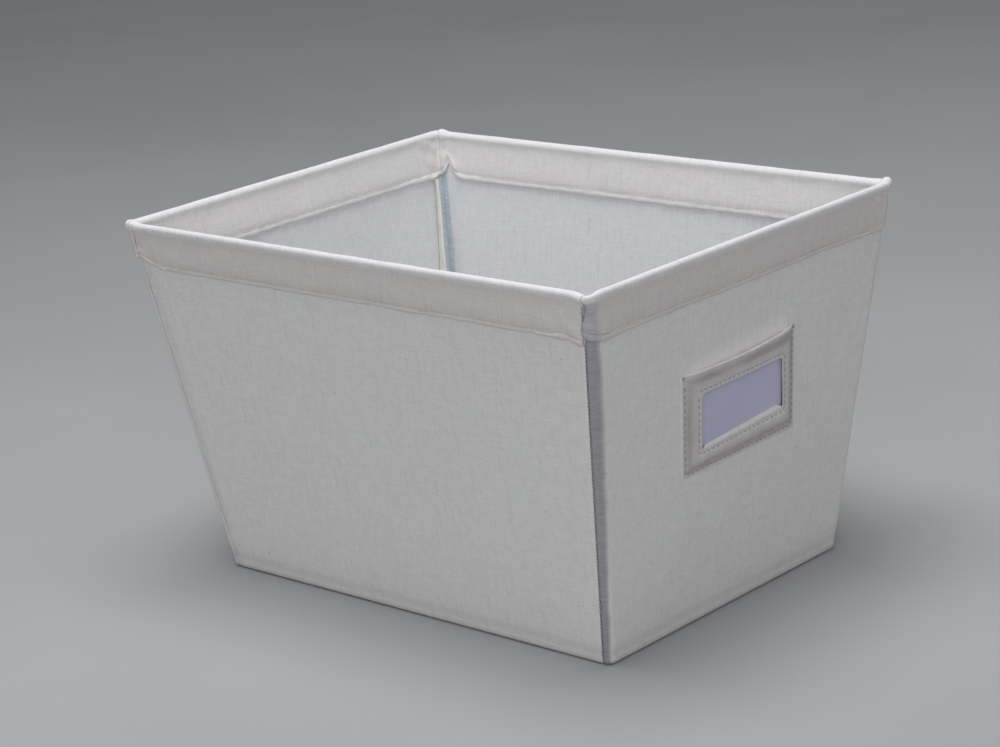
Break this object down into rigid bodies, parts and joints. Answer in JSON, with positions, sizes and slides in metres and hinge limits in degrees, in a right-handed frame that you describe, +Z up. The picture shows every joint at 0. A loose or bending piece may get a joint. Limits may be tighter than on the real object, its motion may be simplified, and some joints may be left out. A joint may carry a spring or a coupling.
{
  "type": "fabric storage bin",
  "caption": "Open tapered storage bin of canvas over stiff boards, with a wire-stiffened cuffed rim, a label pocket on one end and a loose covered base board.",
  "frame": {"origin": "on the floor under the centre of the base, which is also the centre of the bounding box's bottom face", "axes": "+Z up; the label end faces -Y and the length runs along Y; the width runs along X, with the left side (seen facing the label) at -X"},
  "size_m": [0.3046, 0.4054, 0.247],
  "materials": {
    "outer_canvas": "pale natural cotton canvas, plain weave",
    "lining_cloth": "off-white cotton lining, plain weave",
    "fibreboard": "white-lined fibreboard, matt",
    "cuff_canvas": "natural cotton canvas, unbacked",
    "seam_tape": "cream cotton tape, folded over the seam",
    "steel_wire": "bright drawn wire",
    "steel_sleeve": "crimped tube, dull",
    "thread": "polyester sewing thread",
    "holder_canvas": "natural cotton canvas, unbacked",
    "card": "plain white card",
    "insert_canvas": "off-white cotton, plain weave"
  },
  "bodies": {
    "bin": {"outer_panel_label_end": "outer_canvas", "lining_panel_label_end": "lining_cloth", "wall_board_label_end": "fibreboard", "rim_cuff_label_end": "cuff_canvas", "outer_panel_plain_end": "outer_canvas", "lining_panel_plain_end": "lining_cloth", "wall_board_plain_end": "fibreboard", "rim_cuff_plain_end": "cuff_canvas", "outer_panel_left_side": "outer_canvas", "lining_panel_left_side": "lining_cloth", "wall_board_left_side": "fibreboard", "rim_cuff_left_side": "cuff_canvas", "outer_panel_right_side": "outer_canvas", "lining_panel_right_side": "lining_cloth", "wall_board_right_side": "fibreboard", "rim_cuff_right_side": "cuff_canvas", "seam_tape_label_left": "seam_tape", "seam_tape_label_right": "seam_tape", "seam_tape_plain_left": "seam_tape", "seam_tape_plain_right": "seam_tape", "outer_base": "outer_canvas", "lining_base": "lining_cloth", "rim_wire": "steel_wire", "rim_wire_sleeve": "steel_sleeve", "hem_stitching": "thread", "bar_tacks": "thread", "label_holder": "holder_canvas", "label_holder_stitching": "thread"},
    "base_insert": {"insert_board": "fibreboard", "insert_wrap": "insert_canvas"},
    "label_card": {"label_card": "card"}
  },
  "joints": [
    {"name": "base_insert_lift", "type": "slide", "parent": "bin", "child": "base_insert", "axis": [0, 0, 1], "range_m": [0, 0.25]},
    {"name": "label_card_slide", "type": "slide", "parent": "bin", "child": "label_card", "axis": [-0.0436, -0.1506, 0.9876], "range_m": [0, 0.072]}
  ]
}
